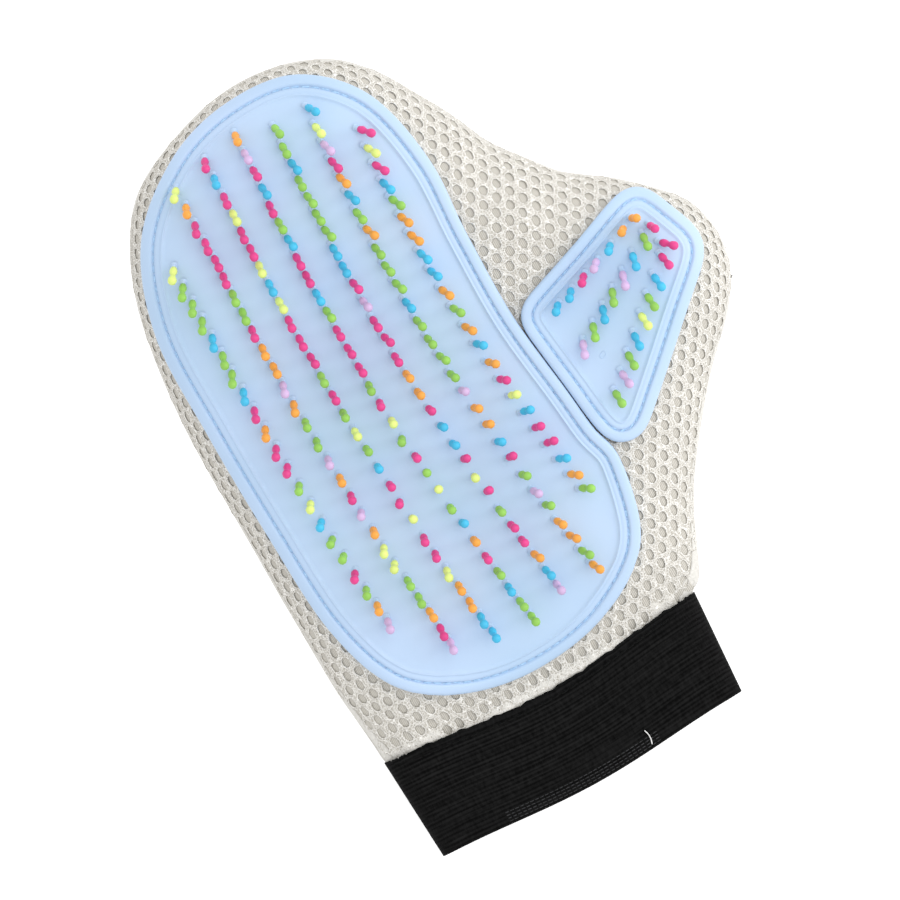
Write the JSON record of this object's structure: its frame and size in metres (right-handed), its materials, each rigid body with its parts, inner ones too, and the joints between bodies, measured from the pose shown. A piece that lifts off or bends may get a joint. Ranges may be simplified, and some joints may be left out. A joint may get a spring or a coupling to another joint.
{
  "type": "pet grooming mitt",
  "caption": "Grooming mitt with thumb: spacer-mesh mitten, soft rubber palm and thumb pads with columns of ball-ended pins, wide elastic cuff.",
  "frame": {"origin": "on the floor under the middle of the mitt, which lies on its back", "axes": "+Y towards the fingertips, +X towards the thumb, +Z out of the palm"},
  "size_m": [0.1752, 0.244, 0.0459],
  "materials": {
    "spacer_mesh": "open polyester spacer mesh, cream",
    "pad_rubber": "satin moulded silicone rubber, pale blue",
    "pin_tips": "satin moulded silicone rubber, bright tip colours",
    "elastic": "ribbed woven elastic, black",
    "pad_thread": "blue sewing thread",
    "seam_thread": "cream sewing thread",
    "cuff_thread": "black sewing thread",
    "hem_thread": "grey sewing thread"
  },
  "bodies": {
    "root": {"palm_mesh_panel": "spacer_mesh", "back_mesh_panel": "spacer_mesh", "palm_pad": "pad_rubber", "thumb_pad": "pad_rubber", "elastic_cuff": "elastic", "palm_pad_thread": "pad_thread", "thumb_pad_thread": "pad_thread", "perimeter_seam_thread": "seam_thread", "cuff_seam_thread": "cuff_thread", "cuff_hem_thread_1": "hem_thread", "cuff_hem_thread_2": "hem_thread", "cuff_hem_thread_3": "hem_thread", "cuff_hem_thread_4": "hem_thread"}
  },
  "joints": []
}
